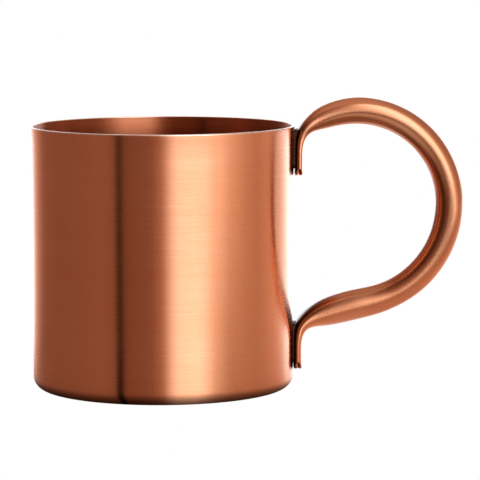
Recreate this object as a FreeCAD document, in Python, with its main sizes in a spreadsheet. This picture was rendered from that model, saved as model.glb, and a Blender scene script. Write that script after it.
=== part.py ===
import FreeCAD, Part
import math
import os
import Sketcher

# A one-piece copper cup with a hollow round-tube handle.  The tube is bent to
# an open loop in the XZ plane, both its ends are pressed flat and turned down
# to lie against the wall, and each is brazed to the wall.
# Frame: +Z up, origin on the cup's axis in the plane it stands on, handle to +X.
# All sizes in millimetres, angles in degrees.

os.makedirs("parts", exist_ok=True)
V = FreeCAD.Vector
doc = FreeCAD.newDocument("copper_mug")

# ---------------------------------------------------------------- dimensions
sheet = doc.addObject("Spreadsheet::Sheet", "dims")
values = [
    ("height", 88.0),            # standing plane to the top of the lip
    ("radius_low", 43.55),       # outside radius at the bottom of the wall
    ("radius_top", 43.88),       # outside radius where the lip starts to flare
    ("radius_lip", 44.35),       # outside radius of the lip
    ("flare_start", 80.5),       # height at which the lip starts to flare
    ("wall", 1.05),              # sheet thickness of the wall
    ("floor_sheet", 1.1),        # sheet thickness of the floor
    ("corner", 4.2),             # outside radius of the base corner
    ("recess_deep", 0.8),        # how far the middle of the base is set up
    ("recess_radius", 33.5),     # outer edge of the set-up middle, below
    ("recess_flat", 31.5),       # its flat part
    ("lip_round", 0.5),          # rounding of the lip's two edges
    ("tube_thick", 9.15),        # tube section, in the plane of the loop
    ("tube_wide", 9.25),         # tube section, across the loop
    ("tube_wall", 1.2),          # tube wall thickness
    ("loop_x", 96.15),           # centreline's furthest point from the axis
    ("loop_z", 61.4),            # and its height
    ("bend_upper", 31.2),        # bend radius of the upper part of the loop
    ("bend_lower", 33.6),        # bend radius of the lower part of the loop
    ("bend_lower_turn", 65.0),   # angle turned by the lower part
    ("upper_end", 71.2),         # heights of the two flat ends' tips
    ("lower_end", 6.2),
    ("end_corner", 2.4),         # rounding of the flattened ends' corners
    ("upper_braze_low", 73.6),   # extent of the brazed joints, in height
    ("upper_braze_high", 86.4),
    ("lower_braze_low", 8.4),
    ("lower_braze_high", 21.4),
    ("braze_wide", 11.4),
    ("braze_bite", 0.9),         # how far the pads run on past the flat's face
    ("upper_braze_start", 0.25), # how far inside the wall's foot radius the
    ("lower_braze_start", 0.5),  # pads begin, before the wall is cut from them
]

# stations of the two flattened feet, from where the flat tongue starts to turn
# away from the wall up to the loop: x and z of the centreline, its direction
# above +X, thickness, width
upper = [
    (45.53, 78.60, 90.0, 2.65, 12.86),
    (45.56, 79.90, 87.8, 2.66, 12.86),
    (45.67, 81.20, 83.8, 2.82, 12.77),
    (45.87, 82.48, 80.0, 3.18, 12.56),
    (46.13, 83.75, 75.0, 3.60, 12.32),
    (46.51, 84.89, 66.0, 3.88, 12.16),
    (47.12, 85.92, 53.2, 4.10, 12.03),
    (47.91, 86.82, 44.5, 4.39, 11.87),
    (48.97, 87.73, 37.0, 4.98, 11.53),
    (50.32, 88.60, 29.6, 6.08, 10.91),
    (52.10, 89.51, 25.1, 7.14, 10.30),
    (54.49, 90.51, 20.3, 7.87, 9.88),
    (57.54, 91.48, 15.1, 8.38, 9.59),
    (61.26, 92.30, 7.6, 8.80, 9.39),
]
lower = [
    (45.10, 12.88, 90.0, 2.65, 12.86),
    (45.11, 14.18, 88.7, 2.66, 12.86),
    (45.14, 15.48, 87.0, 2.70, 12.84),
    (45.24, 16.78, 83.4, 2.84, 12.76),
    (45.42, 17.96, 79.5, 3.18, 12.56),
    (45.67, 19.03, 76.0, 3.80, 12.20),
    (45.99, 20.09, 64.0, 4.35, 11.90),
    (46.65, 21.08, 46.9, 4.71, 11.70),
    (47.67, 21.87, 34.0, 5.09, 11.50),
    (48.88, 22.59, 28.0, 5.79, 11.20),
    (50.32, 23.29, 22.8, 6.89, 10.85),
    (52.19, 23.98, 18.5, 8.06, 10.60),
    (54.48, 24.70, 16.7, 9.04, 10.45),
    (57.36, 25.54, 15.7, 9.72, 10.35),
    (61.03, 26.52, 14.0, 10.06, 10.28),
    (65.12, 27.48, 12.4, 10.06, 10.22),
    (69.23, 28.38, 13.6, 9.80, 9.95),
    (73.08, 29.44, 18.5, 9.45, 9.60),
]
letters = "abcdefghijklmnopqrstuvw"
for foot, table in (("upper", upper), ("lower", lower)):
    for k, row in enumerate(table):
        for word, number in zip(("x", "z", "tilt", "thick", "wide"), row):
            values.append(("%s_%s_%s" % (foot, letters[k], word), number))
for n, (alias, number) in enumerate(values, 1):
    sheet.set("A%d" % n, alias.replace("_", " "))
    sheet.set("B%d" % n, "%g" % number)
    sheet.setAlias("B%d" % n, alias)
doc.recompute()
val = {alias: float(sheet.get(alias)) for alias, number in values}


# ------------------------------------------------------------------- helpers
def origin_plane(body, role):
    for feature in body.Origin.OriginFeatures:
        if feature.Role == role:
            return feature
    raise SystemExit("no origin feature " + role)


def new_sketch(body, name, role, place=None):
    sketch = body.newObject("Sketcher::SketchObject", name)
    sketch.AttachmentSupport = (origin_plane(body, role), [""])
    sketch.MapMode = "FlatFace"
    if place is not None:
        sketch.AttachmentOffset = place
    return sketch


def bind(sketch, name, index, size):
    sketch.renameConstraint(index, name)
    if "dims." in size.text:
        sketch.setExpression("Constraints." + name, size.text)


class Size:
    """A size with both its expression on the sheet and its value."""

    def __init__(self, text, value):
        self.text, self.value = text, float(value)

    @staticmethod
    def of(thing):
        return thing if isinstance(thing, Size) else Size("%g" % thing, thing)

    def __add__(self, other):
        other = Size.of(other)
        return Size("(%s + %s)" % (self.text, other.text), self.value + other.value)

    def __sub__(self, other):
        other = Size.of(other)
        return Size("(%s - %s)" % (self.text, other.text), self.value - other.value)

    def __mul__(self, other):
        other = Size.of(other)
        return Size("(%s * %s)" % (self.text, other.text), self.value * other.value)

    def __truediv__(self, other):
        other = Size.of(other)
        return Size("(%s / %s)" % (self.text, other.text), self.value / other.value)

    def __neg__(self):
        return Size("(0 - %s)" % self.text, -self.value)

    def cosine(self):
        return Size("cos(%s * 1 deg)" % self.text, math.cos(math.radians(self.value)))

    def sine(self):
        return Size("sin(%s * 1 deg)" % self.text, math.sin(math.radians(self.value)))


def dim(alias):
    return Size("dims." + alias, val[alias])


def outline(sketch, points, arcs=()):
    """Closed outline.  points: (x, y) in order; arcs: {edge index: (centre x,
    centre y, radius, clockwise)}."""
    arcs = dict(arcs)
    points = [(Size.of(a), Size.of(b)) for a, b in points]
    xy = [(a.value, b.value) for a, b in points]
    n = len(xy)
    for k in range(n):
        a, b = xy[k], xy[(k + 1) % n]
        if k in arcs:
            cx, cy, rad, clockwise = arcs[k]
            cx, cy, r = cx.value, cy.value, rad.value
            t0 = math.atan2(a[1] - cy, a[0] - cx)
            t1 = math.atan2(b[1] - cy, b[0] - cx)
            if clockwise:
                t0, t1 = t1, t0
            if t1 < t0:
                t1 += 2 * math.pi
            circle = Part.Circle(V(cx, cy, 0), V(0, 0, 1), r)
            sketch.addGeometry(Part.ArcOfCircle(circle, t0, t1), False)
        else:
            sketch.addGeometry(Part.LineSegment(V(a[0], a[1], 0),
                                                V(b[0], b[1], 0)), False)
    for k in range(n):
        j = (k + 1) % n
        end = 1 if (k in arcs and arcs[k][3]) else 2
        start = 2 if (j in arcs and arcs[j][3]) else 1
        sketch.addConstraint(Sketcher.Constraint("Coincident", k, end, j, start))
    for k, (ex, ey) in enumerate(points):
        start = 2 if (k in arcs and arcs[k][3]) else 1
        i = sketch.addConstraint(Sketcher.Constraint("DistanceX", k, start, xy[k][0]))
        bind(sketch, "x%d" % k, i, ex)
        i = sketch.addConstraint(Sketcher.Constraint("DistanceY", k, start, xy[k][1]))
        bind(sketch, "y%d" % k, i, ey)
    for k in arcs:
        i = sketch.addConstraint(Sketcher.Constraint("Radius", k, arcs[k][2].value))
        bind(sketch, "r%d" % k, i, arcs[k][2])


def racetrack(sketch, thick, wide, centre=0):
    """Section of the tube: thickness along the sketch's x, width along y."""
    centre = Size.of(centre)
    half = (wide - thick) / 2
    cx, r, c = centre.value, thick.value / 2, half.value
    axis = V(0, 0, 1)
    sketch.addGeometry(Part.LineSegment(V(cx + r, -c, 0), V(cx + r, c, 0)), False)
    sketch.addGeometry(Part.ArcOfCircle(
        Part.Circle(V(cx, c, 0), axis, r), 0, math.pi), False)
    sketch.addGeometry(Part.LineSegment(V(cx - r, c, 0), V(cx - r, -c, 0)), False)
    sketch.addGeometry(Part.ArcOfCircle(
        Part.Circle(V(cx, -c, 0), axis, r), math.pi, 2 * math.pi), False)
    for a, b in ((0, 1), (1, 2), (2, 3), (3, 0)):
        sketch.addConstraint(Sketcher.Constraint("Tangent", a, 2, b, 1))
    i = sketch.addConstraint(Sketcher.Constraint("DistanceX", 1, 3, cx))
    bind(sketch, "cx1", i, centre)
    i = sketch.addConstraint(Sketcher.Constraint("DistanceX", 3, 3, cx))
    bind(sketch, "cx3", i, centre)
    i = sketch.addConstraint(Sketcher.Constraint("DistanceY", 1, 3, c))
    bind(sketch, "cy1", i, half)
    i = sketch.addConstraint(Sketcher.Constraint("DistanceY", 3, 3, -c))
    bind(sketch, "cy3", i, -half)
    i = sketch.addConstraint(Sketcher.Constraint("Radius", 1, r))
    bind(sketch, "radius", i, thick / 2)
    sketch.addConstraint(Sketcher.Constraint("Equal", 1, 3))


def ring_edges(feature, test):
    names = []
    for n, edge in enumerate(feature.Shape.Edges, 1):
        curve = edge.Curve
        if isinstance(curve, Part.Circle) and abs(curve.Axis.z) > 0.99:
            if test(curve.Radius, curve.Center.z):
                names.append("Edge%d" % n)
    return names


# ----------------------------------------------------------------------- cup
cup = doc.addObject("PartDesign::Body", "cup")
cup.Label = "cup"
skin = new_sketch(cup, "cup_outside", "XZ_Plane")
outline(skin, [
    (0, 0),
    (dim("radius_low"), 0),
    (dim("radius_top"), dim("flare_start")),
    (dim("radius_lip"), dim("height")),
    (0, dim("height")),
])
turned = cup.newObject("PartDesign::Revolution", "cup_blank")
turned.Profile = skin
turned.ReferenceAxis = (origin_plane(cup, "Z_Axis"), [""])
turned.Angle = 360
doc.recompute()
base_corner = cup.newObject("PartDesign::Fillet", "base_corner")
base_corner.Base = (turned, ring_edges(turned, lambda r, z: z < 0.1 and r > 40))
base_corner.Radius = val["corner"]
base_corner.setExpression("Radius", "dims.corner")
doc.recompute()
inside = new_sketch(cup, "cup_inside", "XZ_Plane")
outline(inside, [
    (0, dim("recess_deep") + dim("floor_sheet")),
    (dim("radius_low") - dim("wall"), dim("recess_deep") + dim("floor_sheet")),
    (dim("radius_top") - dim("wall"), dim("flare_start")),
    (dim("radius_lip") - dim("wall"), dim("height")),
    (dim("radius_lip") - dim("wall"), dim("height") + 5),
    (0, dim("height") + 5),
])
hollow = cup.newObject("PartDesign::Groove", "cup_hollow")
hollow.Profile = inside
hollow.ReferenceAxis = (origin_plane(cup, "Z_Axis"), [""])
hollow.Angle = 360
doc.recompute()
inner_corner = cup.newObject("PartDesign::Fillet", "inner_corner")
inner_corner.Base = (hollow, ring_edges(
    hollow, lambda r, z: 1.0 < z < 3.0 and r > 40))
inner_corner.Radius = val["corner"] - val["wall"]
inner_corner.setExpression("Radius", "dims.corner - dims.wall")
doc.recompute()
dish = new_sketch(cup, "base_dish", "XZ_Plane")
outline(dish, [
    (0, -1),
    (dim("recess_radius"), -1),
    (dim("recess_radius"), 0),
    (dim("recess_flat"), dim("recess_deep")),
    (0, dim("recess_deep")),
])
base_recess = cup.newObject("PartDesign::Groove", "base_recess")
base_recess.Profile = dish
base_recess.ReferenceAxis = (origin_plane(cup, "Z_Axis"), [""])
base_recess.Angle = 360
doc.recompute()
lip = cup.newObject("PartDesign::Fillet", "lip_round")
lip.Base = (base_recess, ring_edges(
    base_recess, lambda r, z: z > val["height"] - 0.1))
lip.Radius = val["lip_round"]
lip.setExpression("Radius", "dims.lip_round")
doc.recompute()

# -------------------------------------------------------------------- handle
handle = doc.addObject("PartDesign::Body", "handle_tube")
handle.Label = "handle_tube"


def loop_end_at(foot):
    """x, z and direction of the centreline where the foot meets the bend."""
    if foot == "upper":
        return (dim("loop_x") - dim("bend_upper"),
                dim("loop_z") + dim("bend_upper"), Size.of(0))
    turn = dim("bend_lower_turn")
    return (dim("loop_x") - dim("bend_lower") * (Size.of(1) - turn.cosine()),
            dim("loop_z") - dim("bend_lower") * turn.sine(),
            Size.of(90) - turn)


def spine(name, radius, turn, up):
    """Quarter-like arc of the loop's centreline, from its furthest point."""
    sketch = new_sketch(handle, name, "XZ_Plane")
    r = val[radius]
    cx, cz = val["loop_x"] - r, val["loop_z"]
    sweep = math.radians(turn)
    arc = (0.0, sweep) if up else (-sweep, 0.0)
    sketch.addGeometry(Part.ArcOfCircle(
        Part.Circle(V(cx, cz, 0), V(0, 0, 1), r), arc[0], arc[1]), False)
    near, far = (1, 2) if up else (2, 1)
    i = sketch.addConstraint(Sketcher.Constraint("DistanceX", 0, near, cx + r))
    bind(sketch, "loop_x", i, dim("loop_x"))
    i = sketch.addConstraint(Sketcher.Constraint("DistanceY", 0, near, cz))
    bind(sketch, "loop_z", i, dim("loop_z"))
    i = sketch.addConstraint(Sketcher.Constraint("DistanceY", 0, 3, cz))
    bind(sketch, "centre_z", i, dim("loop_z"))
    i = sketch.addConstraint(Sketcher.Constraint("Radius", 0, r))
    bind(sketch, "radius", i, dim(radius))
    end = loop_end_at("upper" if up else "lower")[0]
    i = sketch.addConstraint(Sketcher.Constraint("DistanceX", 0, far, end.value))
    bind(sketch, "end_x", i, end)
    return sketch


upper_spine = spine("upper_spine", "bend_upper", 90.0, True)
lower_spine = spine("lower_spine", "bend_lower", val["bend_lower_turn"], False)


def profile(name, inset):
    place = FreeCAD.Placement(V(0, 0, val["loop_z"]), FreeCAD.Rotation())
    sketch = new_sketch(handle, name, "XY_Plane", place)
    sketch.setExpression("AttachmentOffset.Base.z", "dims.loop_z")
    racetrack(sketch, dim("tube_thick") - inset, dim("tube_wide") - inset,
              dim("loop_x"))
    return sketch


def section(name, x, z, tilt, thick, wide):
    """Section across the centreline at x, z, where it runs at tilt above +X."""
    place = FreeCAD.Placement(
        V(x.value, 0, z.value),
        FreeCAD.Rotation(V(0, 1, 0), 90.0 - tilt.value))
    sketch = new_sketch(handle, name, "XY_Plane", place)
    sketch.setExpression("AttachmentOffset.Base.x", x.text)
    sketch.setExpression("AttachmentOffset.Base.z", z.text)
    racetrack(sketch, thick, wide)
    return sketch


def station(name, foot, letter, inset):
    key = "%s_%s_" % (foot, letter)
    return section(name, dim(key + "x"), dim(key + "z"), dim(key + "tilt"),
                   dim(key + "thick") - inset, dim(key + "wide") - inset)


def loop_end(name, foot, inset):
    x, z, tilt = loop_end_at(foot)
    return section(name, x, z, tilt, dim("tube_thick") - inset,
                   dim("tube_wide") - inset)


for kind, inset, word in (("Additive", Size.of(0), "tube"),
                          ("Subtractive", dim("tube_wall") * 2, "bore")):
    ring = profile(word + "_section", inset)
    for foot, path in (("upper", upper_spine), ("lower", lower_spine)):
        pipe = handle.newObject("PartDesign::%sPipe" % kind,
                                "%s_bend_%s" % (foot, word))
        pipe.Profile = ring
        pipe.Spine = (path, ["Edge1"])
        doc.recompute()
    for foot, table in (("upper", upper), ("lower", lower)):
        rows = [station("%s_%s_%s" % (foot, word, letters[k]), foot,
                        letters[k], inset) for k in range(len(table))]
        rows.append(loop_end("%s_%s_loop" % (foot, word), foot, inset))
        doc.recompute()
        loft = handle.newObject("PartDesign::%sLoft" % kind,
                                "%s_foot_%s" % (foot, word))
        loft.Profile = rows[0]
        loft.Sections = rows[1:]
        loft.Ruled = False
        doc.recompute()
        flat = handle.newObject(
            "PartDesign::Pad" if kind == "Additive" else "PartDesign::Pocket",
            "%s_tongue_%s" % (foot, word))
        flat.Profile = rows[0]
        flat.Reversed = kind == "Additive"
        reach = dim("%s_a_z" % foot) - dim("%s_end" % foot)
        if kind == "Subtractive":
            reach = reach + 1
        flat.Length = reach.value
        flat.setExpression("Length", reach.text)
        doc.recompute()

# the corners of the two flat ends are rounded off
for foot in ("upper", "lower"):
    low = dim("%s_end" % foot)
    high = low + dim("end_corner")
    for side, sign in (("front", -1), ("back", 1)):
        place = FreeCAD.Placement(V(0, 0, 42.0), FreeCAD.Rotation())
        cut = new_sketch(handle, "%s_corner_%s" % (foot, side), "YZ_Plane", place)
        half = dim("%s_a_wide" % foot) / 2 * sign
        inner = (dim("%s_a_wide" % foot) / 2 - dim("end_corner")) * sign
        out = (dim("%s_a_wide" % foot) / 2 + 0.5) * sign
        outline(cut, [(inner, low), (inner, low - 0.5), (out, low - 0.5),
                      (out, high), (half, high)],
                {4: (inner, high, dim("end_corner"), sign == 1)})
        before = handle.Shape.Volume
        pocket = handle.newObject("PartDesign::Pocket",
                                  "%s_end_%s" % (foot, side))
        pocket.Profile = cut
        pocket.Length = 8.0
        pocket.Reversed = True
        doc.recompute()
        print(pocket.Name, "removed", round(before - handle.Shape.Volume, 2))

# --------------------------------------------------------------- brazed seams
# filler metal between each flat end and the round wall: a thin pad, shaped to
# the tube on one side and hollowed to the wall's curve on the other, filling
# the crevice up to where the tube turns away from the wall
for foot in ("upper", "lower"):
    pad = doc.addObject("Part::Box", "%s_pad" % foot)
    pad.Length = 1.0
    pad.setExpression("Length",
                      "(dims.%s_a_x - dims.%s_a_thick / 2) + dims.braze_bite"
                      " - (dims.radius_low - dims.%s_braze_start)"
                      % (foot, foot, foot))
    pad.setExpression("Width", "dims.braze_wide")
    pad.setExpression("Height", "dims.%s_braze_high - dims.%s_braze_low"
                      % (foot, foot))
    pad.setExpression("Placement.Base.x",
                      "dims.radius_low - dims.%s_braze_start" % foot)
    pad.setExpression("Placement.Base.y", "-dims.braze_wide / 2")
    pad.setExpression("Placement.Base.z", "dims.%s_braze_low" % foot)
    both = doc.addObject("Part::MultiFuse", "%s_neighbours" % foot)
    both.Shapes = [cup, handle]
    seam = doc.addObject("Part::Cut", "%s_braze" % foot)
    seam.Base = pad
    seam.Tool = both
    seam.Label = "%s_braze" % foot
doc.recompute()

# --------------------------------------------------------------------- output
nodes = ["cup", "handle_tube", "upper_braze", "lower_braze"]
bad = []
for obj in doc.Objects:
    if any(word in obj.State for word in ("Invalid", "Error")):
        bad.append(obj.Name)
pieces = {}
for obj in doc.Objects:
    if obj.Label in nodes and obj.Name == obj.Label:
        pieces[obj.Label] = obj
for name in nodes:
    shape = pieces[name].Shape
    if shape.isNull() or not shape.isValid() or len(shape.Solids) < 1:
        bad.append(name)
if bad:
    raise SystemExit("failed: " + ", ".join(bad))
for name in nodes:
    shape = pieces[name].Shape
    box = shape.BoundBox
    print("%-12s solids %d volume %9.1f  x %.2f..%.2f y %.2f..%.2f z %.2f..%.2f"
          % (name, len(shape.Solids), shape.Volume, box.XMin, box.XMax,
             box.YMin, box.YMax, box.ZMin, box.ZMax))
    shape.exportStep("parts/%s.step" % name)
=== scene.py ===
import bpy
import math
import numpy as np
from mathutils import Matrix, Vector


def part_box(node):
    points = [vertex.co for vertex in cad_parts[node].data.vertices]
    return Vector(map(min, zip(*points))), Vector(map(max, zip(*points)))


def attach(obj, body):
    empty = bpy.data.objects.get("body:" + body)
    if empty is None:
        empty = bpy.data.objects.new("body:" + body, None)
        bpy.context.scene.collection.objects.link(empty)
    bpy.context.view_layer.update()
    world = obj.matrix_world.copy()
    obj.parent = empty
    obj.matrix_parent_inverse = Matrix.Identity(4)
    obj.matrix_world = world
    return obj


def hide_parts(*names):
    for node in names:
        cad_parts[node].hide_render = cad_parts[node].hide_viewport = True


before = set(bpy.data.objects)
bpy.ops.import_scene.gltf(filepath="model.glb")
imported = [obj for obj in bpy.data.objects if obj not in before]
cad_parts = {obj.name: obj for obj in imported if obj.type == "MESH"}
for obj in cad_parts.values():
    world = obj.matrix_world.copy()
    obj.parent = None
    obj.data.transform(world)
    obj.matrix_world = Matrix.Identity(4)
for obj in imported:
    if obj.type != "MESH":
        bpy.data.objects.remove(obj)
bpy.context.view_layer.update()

MM = 0.001
scene = bpy.context.scene


# ------------------------------------------------------------ node helpers
class Nodes:
    """Short-hand for building a node tree."""

    def __init__(self, tree):
        self.tree = tree
        tree.nodes.clear()

    def add(self, kind, **settings):
        node = self.tree.nodes.new(kind)
        for key, value in settings.items():
            setattr(node, key, value)
        return node

    def put(self, socket, value):
        if isinstance(value, bpy.types.NodeSocket):
            self.tree.links.new(value, socket)
        elif isinstance(value, (tuple, list)) and len(value) == 3 and len(socket.default_value) == 4:
            socket.default_value = (*value, 1.0)
        else:
            socket.default_value = value

    def maths(self, operation, a, b=None, c=None, clamp=False):
        node = self.add("ShaderNodeMath", operation=operation, use_clamp=clamp)
        self.put(node.inputs[0], a)
        if b is not None:
            self.put(node.inputs[1], b)
        if c is not None:
            self.put(node.inputs[2], c)
        return node.outputs[0]

    def span(self, value, lo, hi, out_lo=0.0, out_hi=1.0, smooth=True):
        node = self.add("ShaderNodeMapRange", clamp=True,
                        interpolation_type="SMOOTHSTEP" if smooth else "LINEAR")
        self.put(node.inputs["Value"], value)
        self.put(node.inputs["From Min"], lo)
        self.put(node.inputs["From Max"], hi)
        self.put(node.inputs["To Min"], out_lo)
        self.put(node.inputs["To Max"], out_hi)
        return node.outputs["Result"]

    def mix(self, factor, a, b, blend="MIX"):
        node = self.add("ShaderNodeMix", data_type="RGBA", blend_type=blend)
        self.put(node.inputs[0], factor)
        self.put(node.inputs[6], a)
        self.put(node.inputs[7], b)
        return node.outputs[2]

    def noise(self, vector, scale, detail=2.0, rough=0.5, dims="3D", distortion=0.0):
        node = self.add("ShaderNodeTexNoise", noise_dimensions=dims)
        if dims == "1D":
            self.put(node.inputs["W"], vector)
        else:
            self.put(node.inputs["Vector"], vector)
        node.inputs["Scale"].default_value = scale
        node.inputs["Detail"].default_value = detail
        node.inputs["Roughness"].default_value = rough
        node.inputs["Distortion"].default_value = distortion
        return node.outputs[0]

    def vector(self, x, y, z):
        node = self.add("ShaderNodeCombineXYZ")
        for socket, value in zip(node.inputs, (x, y, z)):
            self.put(socket, value)
        return node.outputs[0]


def new_material(name):
    mat = bpy.data.materials.new(name)
    mat.use_nodes = True
    return mat, Nodes(mat.node_tree)


# --------------------------------------------------------------- materials
# Copper, as a metal: the base colour is its reflection seen straight on.
COPPER = (0.93, 0.43, 0.245)
COPPER_DEEP = (0.86, 0.34, 0.165)
COPPER_PALE = (0.96, 0.53, 0.35)


def brushed_copper(name, rough, aniso, lines=1.0, axis="ring", tint=0.0, shade_by=None, tones=None, painted_wall_shade=False, painted_shade_inside=False):
    """Copper brushed round the cup's axis. The marks are long thin streaks:
    close together along the axis (or the radius) and slow round it."""
    mat, n = new_material(name)
    out = n.add("ShaderNodeOutputMaterial")
    bsdf = n.add("ShaderNodeBsdfPrincipled")
    n.tree.links.new(bsdf.outputs[0], out.inputs[0])
    coord = n.add("ShaderNodeTexCoord")
    split = n.add("ShaderNodeSeparateXYZ")
    n.put(split.inputs[0], coord.outputs["Object"])
    x, y, z = split.outputs
    radius = n.maths("SQRT", n.maths("ADD", n.maths("MULTIPLY", x, x), n.maths("MULTIPLY", y, y)))
    across = z if axis == "ring" else radius
    turn_x = n.maths("DIVIDE", x, n.maths("MAXIMUM", radius, 1e-4))
    turn_y = n.maths("DIVIDE", y, n.maths("MAXIMUM", radius, 1e-4))

    def streaks(pitch_mm, length, detail=2.0, rough_=0.6):
        # pitch_mm apart across the marks; length sets how far they run round
        k = 1.0 / (pitch_mm * MM)
        vec = n.vector(n.maths("MULTIPLY", turn_x, length), n.maths("MULTIPLY", turn_y, length),
                       n.maths("MULTIPLY", across, k))
        return n.noise(vec, 1.0, detail, rough_)

    fine = streaks(0.16, 2.2, 3.0)
    mid = streaks(0.55, 1.3, 2.0)
    broad = streaks(3.2, 0.7, 2.0)
    cloud = n.noise(coord.outputs["Object"], 26.0, 3.0, 0.55)

    def centred(value, gain):
        return n.maths("MULTIPLY", n.maths("SUBTRACT", value, 0.5), gain)

    shade = n.maths("ADD", centred(fine, 0.55 * lines),
                    n.maths("ADD", centred(mid, 0.40 * lines), centred(broad, 0.30 * lines)))
    tone = n.maths("ADD", n.maths("ADD", shade, centred(cloud, 0.5)), 0.5 + tint, clamp=True)
    deep, middle, pale = tones or (COPPER_DEEP, COPPER, COPPER_PALE)
    base = n.mix(n.span(tone, 0.5, 1.0, smooth=False), middle, pale)
    base = n.mix(n.span(tone, 0.0, 0.5, smooth=False), deep, base)
    if shade_by is not None:
        base = n.mix(1.0, base, shade_by, "MULTIPLY")
    if painted_shade_inside:
        # painted shade inside the cup, darker away from the rim
        base = n.mix(1.0, base, n.vector(*[n.span(z, 0.079, 0.0872, v, 1.0) for v in (0.52, 0.44, 0.40)]), "MULTIPLY")
    if painted_wall_shade:
        # painted shade on the wall round the two brazed ends, in the crevice beside the flat ends
        near_y = n.span(n.maths("ABSOLUTE", y), 0.0052, 0.0078, 1.0, 0.0)
        near_x = n.span(x, 0.040, 0.0425)
        up_ = n.maths("MULTIPLY", n.span(z, 0.0705, 0.0725), n.span(z, 0.0868, 0.0878, 1.0, 0.0))
        low_ = n.maths("MULTIPLY", n.span(z, 0.0055, 0.0080), n.span(z, 0.0215, 0.0245, 1.0, 0.0))
        mark = n.maths("MULTIPLY", n.maths("MULTIPLY", near_x, near_y), n.maths("ADD", up_, low_))
        mark = n.maths("MULTIPLY", mark, n.maths("ADD", centred(cloud, 1.2), 0.85), clamp=True)
        base = n.mix(mark, base, (0.20, 0.075, 0.04))
    n.put(bsdf.inputs["Base Color"], base)
    r = n.maths("ADD", centred(fine, 0.07), centred(mid, 0.05))
    r = n.maths("ADD", r, centred(cloud, 0.05))
    r = n.maths("ADD", r, rough, clamp=True)
    n.put(bsdf.inputs["Roughness"], r)
    bsdf.inputs["Metallic"].default_value = 1.0
    bsdf.inputs["Anisotropic"].default_value = aniso
    bsdf.inputs["Anisotropic Rotation"].default_value = 0.25
    tangent = n.add("ShaderNodeTangent", direction_type="RADIAL", axis="Z")
    n.tree.links.new(tangent.outputs[0], bsdf.inputs["Tangent"])
    bump = n.add("ShaderNodeBump")
    bump.inputs["Strength"].default_value = 0.07
    bump.inputs["Distance"].default_value = 0.015 * MM
    height = n.maths("ADD", n.maths("MULTIPLY", fine, 0.5), n.maths("MULTIPLY", mid, 0.6))
    n.put(bump.inputs["Height"], height)
    n.put(bsdf.inputs["Normal"], bump.outputs[0])
    return mat


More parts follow.
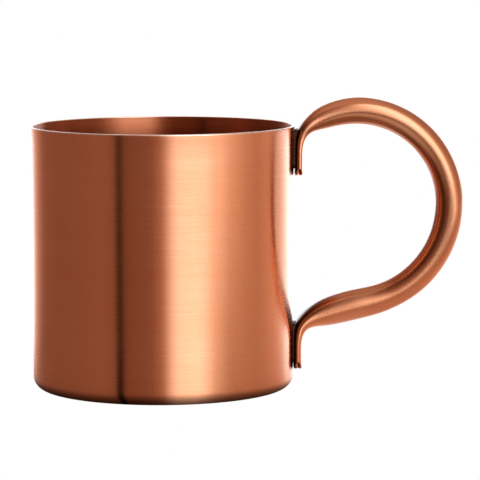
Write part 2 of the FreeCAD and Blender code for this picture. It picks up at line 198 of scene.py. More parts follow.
def polished_copper(name, rough=0.12, painted_shade_amount=0.0, outer=1.0, inner=1.0):
    """Copper tube with faint marks running along it. The marks follow the mesh
    attribute tube_pos: round the tube in x and y, along it in z."""
    mat, n = new_material(name)
    out = n.add("ShaderNodeOutputMaterial")
    bsdf = n.add("ShaderNodeBsdfPrincipled")
    n.tree.links.new(bsdf.outputs[0], out.inputs[0])
    at = n.add("ShaderNodeAttribute", attribute_name="tube_pos", attribute_type="GEOMETRY")
    split = n.add("ShaderNodeSeparateXYZ")
    n.put(split.inputs[0], at.outputs["Vector"])
    px, py, pz = split.outputs
    coord = n.add("ShaderNodeTexCoord")

    def marks(around, along, detail=2.0):
        vec = n.vector(n.maths("MULTIPLY", px, around), n.maths("MULTIPLY", py, around),
                       n.maths("MULTIPLY", pz, along))
        return n.noise(vec, 1.0, detail, 0.6)

    fine = marks(7.0, 26.0, 1.0)
    broad = marks(2.4, 14.0, 2.0)
    cloud = n.noise(coord.outputs["Object"], 70.0, 3.0, 0.55)

    def centred(value, gain):
        return n.maths("MULTIPLY", n.maths("SUBTRACT", value, 0.5), gain)

    tone = n.maths("ADD", n.maths("ADD", centred(fine, 0.5), centred(broad, 0.6)),
                   n.maths("ADD", centred(cloud, 0.8), 0.5), clamp=True)
    base = n.mix(n.span(tone, 0.5, 1.0, smooth=False), COPPER, COPPER_PALE)
    base = n.mix(n.span(tone, 0.0, 0.5, smooth=False), COPPER_DEEP, base)
    # painted shade: the copper mixed towards near-black
    if painted_shade_amount:
        base = n.mix(painted_shade_amount, base, (0.060, 0.024, 0.014))
    if inner != outer:
        # painted shade: the tube is darkened, more on the side facing the inside of the loop and less on the lower arm
        place = n.add("ShaderNodeSeparateXYZ")
        n.put(place.inputs[0], coord.outputs["Object"])
        ox, oy, oz = place.outputs
        turned_up = n.span(oz, 0.030, 0.058, 0.40, 0.0)
        side = n.span(n.maths("ADD", n.maths("ADD", px, turned_up), centred(broad, 0.3)), -0.26, 0.36)
        lower = n.span(oz, 0.030, 0.058, 0.66, inner)
        outside = n.span(oz, 0.030, 0.058, 0.92, outer)
        level = n.maths("ADD", lower, n.maths("MULTIPLY", side, n.maths("SUBTRACT", outside, lower)))
        # and painted shade in the crevice by the cup
        facing = n.add("ShaderNodeSeparateXYZ")
        n.put(facing.inputs[0], coord.outputs["Normal"])
        painted_crevice_shade = n.maths("MULTIPLY", n.span(ox, 0.0455, n.span(oz, 0.050, 0.060, 0.0600, 0.0492), 1.0, 0.0),
                          n.span(facing.outputs[0], -0.45, 0.15, 1.0, 0.0))
        level = n.maths("MULTIPLY", level, n.maths("SUBTRACT", 1.0, n.maths("MULTIPLY", painted_crevice_shade, 0.80)))
        # painted shade on the faces of the loop turned towards the cup
        level = n.maths("MULTIPLY", level, n.span(facing.outputs[0], -0.92, -0.62, 0.60, 1.0))
        # painted shade on the underside of the lower arm
        level = n.maths("MULTIPLY", level, n.span(n.maths("ADD", px, n.maths("MULTIPLY", turned_up, 2.5)), 1.45, 1.9, 1.0, 0.80))
        # painted shade: a dark line along the upright right-hand part of the loop, towards its inner side
        streak = n.maths("ABSOLUTE", n.maths("ADD", px, 0.56))
        painted_dark_line = n.maths("MULTIPLY", n.span(streak, 0.06, 0.24, 0.48, 0.0), n.span(ox, 0.074, 0.088))
        level = n.maths("MULTIPLY", level, n.maths("SUBTRACT", 1.0, painted_dark_line))
        # painted shade on the top of the lower arm by its brazed end
        painted_arm_shade = n.maths("MULTIPLY", n.span(ox, 0.0480, 0.0600, 1.0, 0.0), n.span(facing.outputs[2], 0.05, 0.60))
        painted_arm_shade = n.maths("MULTIPLY", painted_arm_shade, n.span(oz, 0.030, 0.040, 0.60, 0.0))
        level = n.maths("MULTIPLY", level, n.maths("SUBTRACT", 1.0, painted_arm_shade))
        # painted highlight on the outward face of the upper flat end
        flat = n.maths("MULTIPLY", n.span(ox, 0.0470, 0.0490, 1.0, 0.0), n.span(facing.outputs[0], 0.0, 0.30))
        flat = n.maths("MULTIPLY", flat, n.span(oz, 0.050, 0.060))
        level = n.maths("ADD", level, n.maths("MULTIPLY", flat, 0.34))
        warm = n.span(level, 0.3, 0.7, 0.86, 0.99)
        base = n.mix(1.0, base, n.vector(level, n.maths("MULTIPLY", level, warm),
                                         n.maths("MULTIPLY", level, n.maths("MULTIPLY", warm, warm))), "MULTIPLY")
    n.put(bsdf.inputs["Base Color"], base)
    r = n.maths("ADD", centred(fine, 0.10), centred(cloud, 0.10))
    r = n.maths("ADD", r, rough, clamp=True)
    n.put(bsdf.inputs["Roughness"], r)
    bsdf.inputs["Metallic"].default_value = 1.0
    bump = n.add("ShaderNodeBump")
    bump.inputs["Strength"].default_value = 0.06
    bump.inputs["Distance"].default_value = 0.03 * MM
    n.put(bump.inputs["Height"], n.maths("ADD", fine, n.maths("MULTIPLY", broad, 1.4)))
    n.put(bsdf.inputs["Normal"], bump.outputs[0])
    return mat


# the outside wall gets painted shade round the brazed ends
outside_mat = brushed_copper("copper_brushed_outside", 0.275, 1.0, painted_wall_shade=True)
# the inside is darkened all over and more away from the rim: painted shade inside the cup
inside_mat = brushed_copper("copper_brushed_inside", 0.32, 1.0, lines=2.4, tint=-0.05, shade_by=(0.60, 0.44, 0.385), painted_shade_inside=True)
# paler copper on the lip: painted highlight along the rounded rim
lip_mat = brushed_copper("copper_lip", 0.26, 0.2, lines=0.5,
                         tones=((0.96, 0.70, 0.56), (0.98, 0.80, 0.69), (0.99, 0.86, 0.78)))
base_mat = brushed_copper("copper_spun_base", 0.30, 0.6, axis="disc")
# painted shade: the tube darkened, to 0.72 on its outer side and 0.47 on the side facing the inside of the loop
tube_mat = polished_copper("copper_tube", 0.25, outer=0.72, inner=0.47)
# painted shade inside the tube: its copper mixed towards near-black
bore_mat = polished_copper("copper_tube_inside", 0.40, 0.70)
# the brazed filler, mixed nearly to black as painted shade of the crevice it fills
braze_mat = polished_copper("braze_filler", 0.55, 0.98)


# ------------------------------------------------------------ mesh helpers
def make_object(name, verts, faces, materials, face_mats=None):
    mesh = bpy.data.meshes.new(name)
    mesh.from_pydata([tuple(v) for v in verts], [], faces)
    for mat in materials:
        mesh.materials.append(mat)
    if face_mats is not None:
        mesh.polygons.foreach_set("material_index", face_mats)
    mesh.polygons.foreach_set("use_smooth", [True] * len(mesh.polygons))
    mesh.validate()
    mesh.update()
    obj = bpy.data.objects.new(name, mesh)
    scene.collection.objects.link(obj)
    return obj


def arc(cx, cz, r, a0, a1, n):
    """Points of an arc in the profile's plane, angles in degrees."""
    return [(cx + r * math.cos(math.radians(a0 + (a1 - a0) * k / n)),
             cz + r * math.sin(math.radians(a0 + (a1 - a0) * k / n))) for k in range(n + 1)]


def line(p, q, n):
    return [(p[0] + (q[0] - p[0]) * k / n, p[1] + (q[1] - p[1]) * k / n) for k in range(n + 1)]


# --------------------------------------------------------------------- cup
HEIGHT = 88.0
R_LOW, R_TOP, R_LIP = 43.55, 43.88, 44.33
FLARE, WALL, CORNER = 80.5, 1.05, 4.2


def wall_radius(z):
    """Outside radius of the wall at height z, above the base corner."""
    r = R_LOW + (R_TOP - R_LOW) * max(0.0, z - CORNER) / (FLARE - CORNER)
    if z > FLARE:
        r += (R_LIP - 0.04 - R_TOP) * ((z - FLARE) / (HEIGHT - FLARE)) ** 1.7
    return r


profile, kinds = [], []


def run(points, kind):
    for p in points:
        if profile and math.dist(p, profile[-1]) < 0.04:
            continue
        profile.append(p)
        kinds.append(kind)


# from the middle of the underside, out, up, over the lip, down and in again
run([(0.0, 0.8)] + line((1.0, 0.8), (30.9, 0.8), 24), "base")
run(arc(30.9, -1.2, 2.0, 90, 68.2, 4), "base")
run(arc(33.9, 1.45, 1.45, 248.2, 270, 4), "base")
run(line((33.9, 0.0), (39.35, 0.0), 5), "base")
run(arc(R_LOW - CORNER, CORNER, CORNER, 270, 360, 20), "out")
run([(wall_radius(z), z) for z in np.linspace(CORNER, HEIGHT - 0.40, 76)], "out")
TOP_R = wall_radius(HEIGHT - 0.40)
EDGE_OUT, EDGE_IN = 0.34, 0.26
run(arc(TOP_R - EDGE_OUT, HEIGHT - EDGE_OUT, EDGE_OUT, 8, 84, 8), "lip")
run(line((TOP_R - EDGE_OUT - 0.02, HEIGHT), (TOP_R - WALL + EDGE_IN + 0.02, HEIGHT), 3), "lip")
run(arc(TOP_R - WALL + EDGE_IN, HEIGHT - EDGE_IN, EDGE_IN, 96, 172, 8), "lip")
run([(wall_radius(z) - WALL, z) for z in np.linspace(HEIGHT - 0.40, 5.05, 76)], "in")
run(arc(R_LOW - CORNER, 5.05, CORNER - WALL, 0, -90, 14), "in")
run(line((R_LOW - CORNER, 1.9), (1.0, 1.9), 30), "floor")
run([(0.0, 1.9)], "floor")

AROUND = 288
verts, faces, mats = [], [], []
rings = []
slot_of = {"base": 0, "out": 1, "lip": 2, "in": 3, "floor": 4}
for r, z in profile:
    if r < 1e-6:
        rings.append([len(verts)])
        verts.append((0.0, 0.0, z * MM))
    else:
        first = len(verts)
        for k in range(AROUND):
            a = 2 * math.pi * k / AROUND
            verts.append((r * MM * math.cos(a), r * MM * math.sin(a), z * MM))
        rings.append(list(range(first, first + AROUND)))
for i in range(len(rings) - 1):
    a, b = rings[i], rings[i + 1]
    kind = slot_of[kinds[i + 1]]
    for k in range(AROUND):
        j = (k + 1) % AROUND
        if len(a) == 1:
            faces.append((a[0], b[j], b[k]))
        elif len(b) == 1:
            faces.append((a[k], a[j], b[0]))
        else:
            faces.append((a[k], a[j], b[j], b[k]))
        mats.append(kind)
# the inside floor is darkened: painted shade at the bottom of the cup
floor_mat = brushed_copper("copper_inside_floor", 0.32, 0.6, axis="disc", tint=-0.05, shade_by=(0.55, 0.55, 0.54))
cup = make_object("cup_body", verts, faces, [base_mat, outside_mat, lip_mat, inside_mat, floor_mat], mats)
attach(cup, "root")
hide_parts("cup")


# ------------------------------------------------------------------ handle
# stations of the centreline, from the upper free end round to the lower one:
# x, z, thickness in the plane of the loop, width across it
UPPER = [
    (45.53, 71.20, 2.70, 12.86), (45.53, 73.20, 2.65, 12.86), (45.53, 75.20, 2.62, 12.86),
    (45.53, 77.00, 2.62, 12.86), (45.53, 78.60, 2.63, 12.86), (45.57, 79.90, 2.66, 12.86),
    (45.67, 81.20, 2.82, 12.77), (45.85, 82.48, 3.18, 12.56), (46.12, 83.75, 3.60, 12.32),
    (46.53, 84.89, 3.92, 12.16), (47.12, 85.92, 4.14, 12.03), (47.93, 86.84, 4.45, 11.87),
    (48.97, 87.75, 5.05, 11.53), (50.32, 88.62, 6.05, 10.91), (52.10, 89.53, 7.10, 10.35),
    (54.49, 90.51, 7.87, 9.95), (57.54, 91.48, 8.38, 9.62), (61.26, 92.27, 8.78, 9.38)]
LOWER = [
    (73.08, 29.44, 9.55, 9.60), (69.23, 28.37, 9.85, 9.90), (65.12, 27.48, 10.08, 10.20),
    (61.03, 26.52, 10.08, 10.30), (57.36, 25.54, 9.72, 10.36), (54.48, 24.71, 9.04, 10.45),
    (52.19, 23.98, 8.06, 10.60), (50.32, 23.27, 6.89, 10.85), (48.88, 22.57, 5.85, 11.20),
    (47.67, 21.82, 5.15, 11.50), (46.68, 20.98, 4.72, 11.70), (46.03, 20.05, 4.36, 11.90),
    (45.66, 19.03, 3.82, 12.20), (45.40, 17.96, 3.20, 12.56), (45.23, 16.78, 2.84, 12.76),
    (45.13, 15.48, 2.68, 12.84), (45.09, 14.18, 2.63, 12.86), (45.08, 12.80, 2.62, 12.86),
    (45.08, 11.00, 2.62, 12.86), (45.09, 9.00, 2.66, 12.86), (45.11, 7.60, 2.72, 12.86),
    (45.13, 6.20, 2.80, 12.86)]
LOOP_X, LOOP_Z, BEND_UP, BEND_LOW, BEND_TURN = 96.15, 61.4, 31.2, 33.6, 65.0

stations = list(UPPER)
for deg in np.linspace(90, 5, 18):
    a = math.radians(deg)
    stations.append((LOOP_X - BEND_UP + BEND_UP * math.cos(a), LOOP_Z + BEND_UP * math.sin(a),
                     9.05 + 0.22 * (1 - deg / 90), 9.25))
for deg in np.linspace(0, -BEND_TURN, 14):
    a = math.radians(deg)
    stations.append((LOOP_X - BEND_LOW + BEND_LOW * math.cos(a), LOOP_Z + BEND_LOW * math.sin(a),
                     9.28 + 0.06 * abs(deg) / BEND_TURN, 9.30))
stations += LOWER
S = np.array(stations, float)


def smooth_path(S, step=0.25, width=1.6):
    """Even steps along a cubic through the stations, lightly smoothed."""
    d = np.sqrt(np.linalg.norm(np.diff(S[:, :2], axis=0), axis=1))
    t = np.r_[0, np.cumsum(d)]
    n = len(t)
    # tangents of a centripetal Catmull-Rom spline
    m = np.zeros_like(S)
    for i in range(1, n - 1):
        a, b = t[i] - t[i - 1], t[i + 1] - t[i]
        m[i] = ((S[i] - S[i - 1]) / a * b + (S[i + 1] - S[i]) / b * a) / (a + b)
    m[0] = (S[1] - S[0]) / (t[1] - t[0])
    m[-1] = (S[-1] - S[-2]) / (t[-1] - t[-2])
    fine = []
    for i in range(n - 1):
        w = t[i + 1] - t[i]
        for u in np.linspace(0, 1, 60, endpoint=False):
            u2, u3 = u * u, u * u * u
            fine.append((2 * u3 - 3 * u2 + 1) * S[i] + (u3 - 2 * u2 + u) * w * m[i]
                        + (-2 * u3 + 3 * u2) * S[i + 1] + (u3 - u2) * w * m[i + 1])
    fine.append(S[-1])
    fine = np.array(fine)
    L = np.r_[0, np.cumsum(np.linalg.norm(np.diff(fine[:, :2], axis=0), axis=1))]
    count = int(round(L[-1] / step)) + 1
    s = np.linspace(0, L[-1], count)
    P = np.stack([np.interp(s, L, fine[:, k]) for k in range(S.shape[1])], -1)
    h = s[1] - s[0]
    half = int(4 * width / h)
    kernel = np.exp(-0.5 * (np.arange(-half, half + 1) * h / width) ** 2)
    kernel /= kernel.sum()
    padded = np.concatenate([2 * P[0] - P[half:0:-1], P, 2 * P[-1] - P[-2:-half - 2:-1]])
    out = np.stack([np.convolve(padded[:, k], kernel, "valid") for k in range(P.shape[1])], -1)
    out[0, :2], out[-1, :2] = P[0, :2], P[-1, :2]
    return s, out


s_all, path = smooth_path(S)
LENGTH = s_all[-1]
D = np.gradient(path[:, :2], axis=0)
D /= np.linalg.norm(D, axis=1)[:, None]
TUBE_WALL = 1.2
QUARTER = 26
COLUMNS = QUARTER * 4


def section(thick, wide, offset):
    """Closed section of the pressed tube, as points (in plane, across), offset
    from the middle of the tube's wall. Starts at (+thick side, middle)."""
    a = (thick - TUBE_WALL) / 2
    b = (wide - TUBE_WALL) / 2
    flat = max(0.0, min(1.0, (b - a) / 5.2))
    p = 2.0 + 2.3 * flat
    q = 2.0 + 0.6 * flat
    ang = np.linspace(0, math.pi / 2, 400)
    # superellipse, round at the folds and nearly flat between them
    u = a * np.cos(ang) ** (2 / q)
    v = b * np.sin(ang) ** (2 / p)
    L = np.r_[0, np.cumsum(np.hypot(np.diff(u), np.diff(v)))]
    # closer together towards the fold
    w = np.linspace(0, 1, QUARTER + 1)
    w = w + 0.22 * flat * np.sin(math.pi * w) * 1.0 / math.pi * 2
    w = np.clip(w / w[-1], 0, 1)
    uu = np.interp(w * L[-1], L, u)
    vv = np.interp(w * L[-1], L, v)
    uu[-1], vv[0] = 0.0, 0.0
    full_u = np.r_[uu[:-1], -uu[::-1][:-1], -uu[:-1], uu[::-1][:-1]]
    full_v = np.r_[vv[:-1], vv[::-1][:-1], -vv[:-1], -vv[::-1][:-1]]
    du = np.roll(full_u, -1) - np.roll(full_u, 1)
    dv = np.roll(full_v, -1) - np.roll(full_v, 1)
    ln = np.hypot(du, dv)
    nu, nv = dv / ln, -du / ln
    return full_u + nu * offset, full_v + nv * offset


def at(s):
    s = max(0.0, min(LENGTH, s))
    p = [np.interp(s, s_all, path[:, k]) for k in range(4)]
    d = [np.interp(s, s_all, D[:, k]) for k in range(2)]
    ln = math.hypot(*d)
    return p[0], p[1], p[2], p[3], d[0] / ln, d[1] / ln


END_R = 2.4


def trim(v_mid, half_width):
    """How far the end is cut back at that place across the flat end."""
    over = max(0.0, abs(v_mid) - (half_width - END_R))
    over = min(over, END_R)
    return END_R - math.sqrt(max(0.0, END_R ** 2 - over ** 2))


rows = []
step_s = 0.0
levels = [0.0]
while levels[-1] < LENGTH - 0.01:
    s = levels[-1]
    near = min(s, LENGTH - s)
    step = 0.35 if near < 4 else (0.55 if near < 24 else 1.1)
    levels.append(min(LENGTH, s + step))
if levels[-1] - levels[-2] < 0.2:
    levels.pop(-2)
levels = np.array(levels)
EDGE = 0.30          # rounding of the cut ends

verts, faces, mats, tube = [], [], [], []


def warp(s, cut_a, cut_b):
    """Pushes the rows near each end back along the trimmed outline."""
    reach = 6.0
    if s < reach:
        return cut_a + s * (reach - cut_a) / reach
    if s > LENGTH - reach:
        return LENGTH - (cut_b + (LENGTH - s) * (reach - cut_b) / reach)
    return s


def grid(offset, rows_at, inset=0.0):
    """One skin of the tube. Returns vertex indices [row][column]."""
    index = []
    ends = {}
    for which, s_end in (("a", 0.0), ("b", LENGTH)):
        x, z, thick, wide, dx, dz = at(s_end)
        _, v = section(thick, wide, 0.0)
        ends[which] = [trim(c, (wide - TUBE_WALL) / 2) for c in v]
    cache = {}
    for s in rows_at:
        line_idx = []
        for c in range(COLUMNS):
            sw = warp(s, ends["a"][c] + inset, ends["b"][c] + inset)
            key = round(sw, 3)
            if key not in cache:
                x, z, thick, wide, dx, dz = at(sw)
                shut = 0.08 * min(1.0, max(0.0, (3.4 - thick) / 0.6)) if offset == -half_wall else 0.0
                cache[key] = (x, z, dx, dz, section(thick, wide, offset - shut))
            x, z, dx, dz, (u, v) = cache[key]
            # the in-plane direction points away from the loop's middle
            nx, nz = -dz, dx
            line_idx.append(len(verts))
            verts.append(((x + nx * u[c]) * MM, v[c] * MM, (z + nz * u[c]) * MM))
            ang = 2 * math.pi * c / COLUMNS
            tube.append((math.cos(ang), math.sin(ang), sw * MM))
        index.append(line_idx)
    return index


half_wall = TUBE_WALL / 2
outer = grid(half_wall, levels, EDGE)
inner = grid(-half_wall, levels, EDGE)
# rounded rim between the two skins at each end
rims = []
for end in (0, 1):
    loops = []
    for k in range(1, 6):
        a = math.pi * k / 6
        off = half_wall * math.cos(a)
        back = EDGE * (1 - math.sin(a))
        loops.append(grid(off, [0.0 if end == 0 else LENGTH], back)[0])
    rims.append(loops)


def strip(a, b, kind):
    for c in range(COLUMNS):
        j = (c + 1) % COLUMNS
        faces.append((a[c], a[j], b[j], b[c]))
        mats.append(kind)


for i in range(len(levels) - 1):
    strip(outer[i + 1], outer[i], 0)
    strip(inner[i], inner[i + 1], 1)
chain = [outer[0]] + rims[0] + [inner[0]]
for a, b in zip(chain, chain[1:]):
    strip(a, b, 0)
chain = [outer[-1]] + rims[1] + [inner[-1]]
for a, b in zip(chain, chain[1:]):
    strip(b, a, 0)
handle = make_object("handle_loop", verts, faces, [tube_mat, bore_mat], mats)
attribute = handle.data.attributes.new("tube_pos", "FLOAT_VECTOR", "POINT")
attribute.data.foreach_set("vector", np.array(tube, np.float32).ravel())
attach(handle, "root")
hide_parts("handle_tube")


# ------------------------------------------------------------ brazed seams
def braze(name, node, low, high, face_x, half_wide):
    """Filler between a flat end and the wall, drawn in between them at its
    edges by surface tension."""
    lo, hi = [v * 1000 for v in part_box(node)[0]], [v * 1000 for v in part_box(node)[1]]
    low, high = lo[2] if low is None else low, hi[2] if high is None else high
    corner = 1.6
    outline = []
    for cy, cz, a0 in ((half_wide - corner, high - corner, 0), (-half_wide + corner, high - corner, 90),
                       (-half_wide + corner, low + corner, 180), (half_wide - corner, low + corner, 270)):
        for k in range(9):
            a = math.radians(a0 + 90 * k / 8)
            outline.append((cy + corner * math.cos(a), cz + corner * math.sin(a)))
    # even out the outline
    pts = np.array(outline + outline[:1])
    L = np.r_[0, np.cumsum(np.linalg.norm(np.diff(pts, axis=0), axis=1))]
    count = 120
    t = np.linspace(0, L[-1], count, endpoint=False)
    ring = np.stack([np.interp(t, L, pts[:, k]) for k in range(2)], -1)
    mid = np.array([0.0, (low + high) / 2])
    nrm = ring - mid
    nxt, prv = np.roll(ring, -1, 0), np.roll(ring, 1, 0)
    tg = nxt - prv
    tg /= np.linalg.norm(tg, axis=1)[:, None]
    nrm = np.stack([tg[:, 1], -tg[:, 0]], -1)
    first = path[:, 1] < LOOP_Z if node == "lower_braze" else path[:, 1] > LOOP_Z
    close = path[first & (path[:, 0] < 52)]
    lean = D[first & (path[:, 0] < 52)]
    away = -1.0 if node == "lower_braze" else 1.0
    face_z = close[:, 1] + away * lean[:, 0] * close[:, 2] / 2
    face_at = close[:, 0] - away * lean[:, 1] * close[:, 2] / 2
    order = np.argsort(face_z)
    face_z, face_at = face_z[order], face_at[order]
    vs, fs, tp = [], [], []

    def wall_x(y, z):
        return math.sqrt(wall_radius(z) ** 2 - y * y) - 0.04

    def tube_x(z):
        """The tube's near face at height z, found along its centreline."""
        return max(face_x, float(np.interp(z, face_z, face_at)))

    def put(y, z, w):
        x0, x1 = wall_x(y, z), tube_x(z) + 0.05
        vs.append(((x0 + (x1 - x0) * w) * MM, y * MM, z * MM))
        tp.append((y / 6.0, z / 6.0, w * MM))
        return len(vs) - 1

    # skin on the wall side, meniscus round the edge, skin on the tube side
    loops = []
    for w, grow in ((0.0, 0.42), (0.10, 0.20), (0.25, 0.05), (0.5, -0.04), (0.75, -0.02), (0.9, 0.06), (1.0, 0.14)):
        loops.append([put(ring[k, 0] + nrm[k, 0] * grow, ring[k, 1] + nrm[k, 1] * grow, w)
                      for k in range(count)])
    for a, b in zip(loops, loops[1:]):
        for k in range(count):
            j = (k + 1) % count
            fs.append((a[k], a[j], b[j], b[k]))
    for w, edge, flip in ((0.0, loops[0], True), (1.0, loops[-1], False)):
        prev = edge
        for f in (0.8, 0.55, 0.3):
            cur = []
            for k in range(count):
                i = prev[k]
                y0, z0 = vs[edge[k]][1] * 1000, vs[edge[k]][2] * 1000
                cur.append(put(y0 * f, mid[1] + (z0 - mid[1]) * f, w))
            for k in range(count):
                j = (k + 1) % count
                quad = (prev[k], prev[j], cur[j], cur[k])
                fs.append(quad[::-1] if flip else quad)
            prev = cur
        centre = put(0.0, mid[1], w)
        for k in range(count):
            j = (k + 1) % count
            tri = (prev[k], prev[j], centre)
            fs.append(tri[::-1] if flip else tri)
    obj = make_object(name, vs, fs, [braze_mat])
    attr = obj.data.attributes.new("tube_pos", "FLOAT_VECTOR", "POINT")
    attr.data.foreach_set("vector", np.array(tp, np.float32).ravel())
    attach(obj, "root")
    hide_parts(node)
    return obj


braze("braze_upper", "upper_braze", None, None, 45.53 - 1.32, 5.45)
braze("braze_lower", "lower_braze", None, None, 45.09 - 1.32, 5.45)


# ----------------------------------------------------- floor, backdrop, light
# The studio's brightness by direction round the mug, in degrees from the front
# (0) to the right (90) and the back (180): LOW is the view of the room near the
# horizon, HIGH the softbox and walls above it, and NEAR the lit floor close by.
BACK = (1.85, 2.0, 2.35)
DIM = (0.275, 0.148, 0.104)
WHITE = (2.1, 2.4, 2.75)
SLOT = (0.0, 0.0, 0.0)
BROWN = (0.195, 0.093, 0.067)
DUSK = (0.165, 0.075, 0.05)
LEFT = [(-180, BACK), (-158, BACK), (-149, (0.92, 0.80, 0.80)), (-139, (0.54, 0.34, 0.26)),
        (-125, (0.28, 0.155, 0.125)), (-100, (0.25, 0.13, 0.098)), (-75, (0.265, 0.142, 0.10)), (-55, (0.31, 0.165, 0.118)),
        (-42.6, (0.26, 0.135, 0.096)), (-41.2, SLOT), (-36.1, SLOT), (-34.7, BROWN)]
LOW = LEFT + [(-10, BROWN), (0, (0.24, 0.12, 0.085)), (20, DUSK), (33, DUSK), (43, (1.2, 1.12, 1.05)), (52, (2.0, 1.95, 1.9)),
              (63, (1.6, 1.4, 1.25)), (76, (0.86, 0.64, 0.51)), (88, (0.56, 0.38, 0.28)), (97, (0.68, 0.43, 0.32)), (110, (0.86, 0.55, 0.43)),
              (120, (1.0, 0.92, 0.95)), (134, (1.5, 1.7, 2.0)), (143, WHITE), (172, WHITE), (180, BACK)]
NEAR = LEFT + [(-10, (0.26, 0.13, 0.095)), (1, (0.37, 0.19, 0.13)), (14, (1.13, 1.05, 1.0)), (32, (1.25, 1.19, 1.15)),
               (46, (0.56, 0.39, 0.30)), (62, (0.44, 0.265, 0.19)), (80, (0.50, 0.29, 0.21)), (97, (0.62, 0.38, 0.28)),
               (112, (0.85, 0.55, 0.44)), (122, (1.2, 0.98, 0.92)), (134, (1.6, 1.45, 1.5)), (150, (1.6, 1.5, 1.6)), (180, (1.0, 0.8, 0.75))]
HIGH = [(-180, (0.60, 0.40, 0.31)), (-139, (0.42, 0.25, 0.19)), (-125, (0.25, 0.13, 0.10)), (-55, (0.28, 0.145, 0.105)),
        (-42.2, (0.25, 0.125, 0.09)), (-40.6, SLOT), (-36.6, SLOT), (-35.0, (0.25, 0.125, 0.09)), (-10, (0.27, 0.135, 0.095)),
        (0, (0.6, 0.38, 0.28)), (13, (2.5, 2.5, 2.5)), (38, (2.7, 2.75, 2.75)), (48, (1.5, 1.3, 1.15)), (60, (0.66, 0.45, 0.34)),
        (78, (0.62, 0.41, 0.30)), (92, (0.45, 0.28, 0.21)), (125, (0.52, 0.35, 0.27)), (180, (0.60, 0.40, 0.31))]
PEAK = 4.0


def bands(n, x, y, stops):
    """Colour by direction round the mug, as a fraction of PEAK."""
    az = n.maths("ARCTAN2", x, n.maths("MULTIPLY", y, -1.0))
    turn_ = n.maths("ADD", n.maths("DIVIDE", az, 2 * math.pi), 0.5)
    node = n.add("ShaderNodeValToRGB")
    cr = node.color_ramp
    cr.interpolation = "LINEAR"
    while len(cr.elements) > 1:
        cr.elements.remove(cr.elements[-1])
    for i, (deg, colour) in enumerate(stops):
        e = cr.elements[0] if i == 0 else cr.elements.new((deg + 180) / 360.0)
        e.position = (deg + 180) / 360.0
        e.color = (*[c / PEAK for c in colour], 1.0)
    n.put(node.inputs[0], turn_)
    return node.outputs[0]


def stage_floor():
    mat, n = new_material("stage_floor")
    out = n.add("ShaderNodeOutputMaterial")
    seen = n.add("ShaderNodeEmission")
    seen.inputs["Color"].default_value = (1, 1, 1, 1)
    seen.inputs["Strength"].default_value = 1.0
    coord = n.add("ShaderNodeTexCoord")
    split = n.add("ShaderNodeSeparateXYZ")
    n.put(split.inputs[0], coord.outputs["Object"])
    x, y, z = split.outputs
    radius = n.maths("SQRT", n.maths("ADD", n.maths("MULTIPLY", x, x), n.maths("MULTIPLY", y, y)))
    ahead = n.maths("ADD", y, 0.024)
    # the lit floor ends sooner behind the mug than in front of it
    behind = n.span(n.maths("DIVIDE", y, radius), -0.3, 0.3, 1.0, 2.2)
    colour = n.mix(n.span(n.maths("MULTIPLY", radius, behind), 0.26, 0.40), bands(n, x, ahead, NEAR), bands(n, x, ahead, LOW))
    colour = n.mix(n.span(radius, 0.95, 1.35), colour, bands(n, x, y, HIGH))
    # soft shadows where the cup and its handle stand over the floor
    under_cup = n.span(radius, 0.0405, 0.056, 0.06, 1.0)
    hx = n.maths("DIVIDE", n.maths("SUBTRACT", x, 0.074), 0.045)
    hy = n.maths("DIVIDE", y, 0.030)
    under_handle = n.span(n.maths("SQRT", n.maths("ADD", n.maths("MULTIPLY", hx, hx), n.maths("MULTIPLY", hy, hy))),
                          0.5, 1.5, 0.88, 1.0)
    mirrored = n.add("ShaderNodeEmission")
    n.put(mirrored.inputs["Color"], colour)
    # dimmer close behind the mug, where the mug itself shades the floor
    rear = n.maths("MULTIPLY", n.span(n.maths("DIVIDE", y, radius), -0.1, 0.25), n.span(radius, 0.095, 0.15, 0.15, 0.0))
    level = n.maths("MULTIPLY", n.maths("MULTIPLY", under_cup, under_handle), n.maths("SUBTRACT", 1.0, rear))
    n.put(mirrored.inputs["Strength"], n.maths("MULTIPLY", level, PEAK))
    path_ = n.add("ShaderNodeLightPath")
    both = n.add("ShaderNodeMixShader")
    n.put(both.inputs[0], path_.outputs["Is Camera Ray"])
    n.tree.links.new(mirrored.outputs[0], both.inputs[1])
    n.tree.links.new(seen.outputs[0], both.inputs[2])
    n.tree.links.new(both.outputs[0], out.inputs[0])
    count = 48
    vs = [(0.0, 0.0, -0.0002)] + [(3.0 * math.cos(2 * math.pi * k / count), 3.0 * math.sin(2 * math.pi * k / count), -0.0002)
                                  for k in range(count)]
    fs = [(0, 1 + k, 1 + (k + 1) % count) for k in range(count)]
    obj = make_object("stage_floor", vs, fs, [mat])


stage_floor()


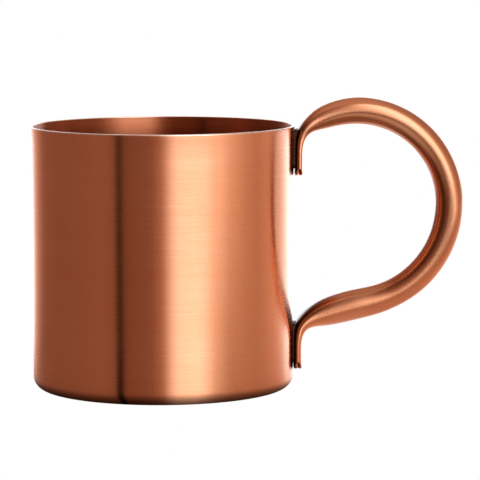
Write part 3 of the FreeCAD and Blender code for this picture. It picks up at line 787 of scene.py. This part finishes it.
def studio():
    world = bpy.data.worlds.new("studio")
    scene.world = world
    world.use_nodes = True
    n = Nodes(world.node_tree)
    out = n.add("ShaderNodeOutputWorld")
    coord = n.add("ShaderNodeTexCoord")
    split = n.add("ShaderNodeSeparateXYZ")
    n.put(split.inputs[0], coord.outputs["Generated"])
    x, y, z = split.outputs
    # the white backdrop behind the mug stands higher than the rest of the horizon
    height = n.maths("SUBTRACT", z, n.span(y, 0.62, 0.80, 0.0, 0.22))
    colour = n.mix(n.span(height, -0.04, 0.06), bands(n, x, y, LOW), bands(n, x, y, HIGH))
    ceiling = tuple(c / PEAK for c in (0.72, 0.50, 0.40))
    colour = n.mix(n.span(z, 0.85, 0.92), colour, ceiling)
    background = n.add("ShaderNodeBackground")
    n.put(background.inputs[0], colour)
    background.inputs[1].default_value = PEAK
    seen = n.add("ShaderNodeBackground")
    seen.inputs[0].default_value = (1, 1, 1, 1)
    seen.inputs[1].default_value = 1.0
    path_ = n.add("ShaderNodeLightPath")
    both = n.add("ShaderNodeMixShader")
    n.put(both.inputs[0], path_.outputs["Is Camera Ray"])
    n.tree.links.new(background.outputs[0], both.inputs[1])
    n.tree.links.new(seen.outputs[0], both.inputs[2])
    n.tree.links.new(both.outputs[0], out.inputs[0])


studio()
scene.view_settings.view_transform = "Standard"
scene.view_settings.look = "None"

# ------------------------------------------------------------------ camera
camera = bpy.data.objects.new("camera", bpy.data.cameras.new("camera"))
scene.collection.objects.link(camera)
yaw, pitch, roll = 0.0259, 0.1094, -0.0023
fwd = Vector((math.sin(yaw) * math.cos(pitch), math.cos(yaw) * math.cos(pitch), -math.sin(pitch)))
right = Vector((math.cos(yaw), -math.sin(yaw), 0.0))
up = right.cross(fwd)
r2 = math.cos(roll) * right + math.sin(roll) * up
u2 = -math.sin(roll) * right + math.cos(roll) * up
turn = Matrix((r2, u2, -fwd)).transposed()
camera.matrix_world = Matrix.Translation((0.0, -1.0, 0.1592)) @ turn.to_4x4()
camera.data.sensor_width = 36.0
camera.data.lens = 3002.57 / 480 * 36.0
camera.data.clip_start = 0.05
camera.data.clip_end = 20.0
scene.camera = camera
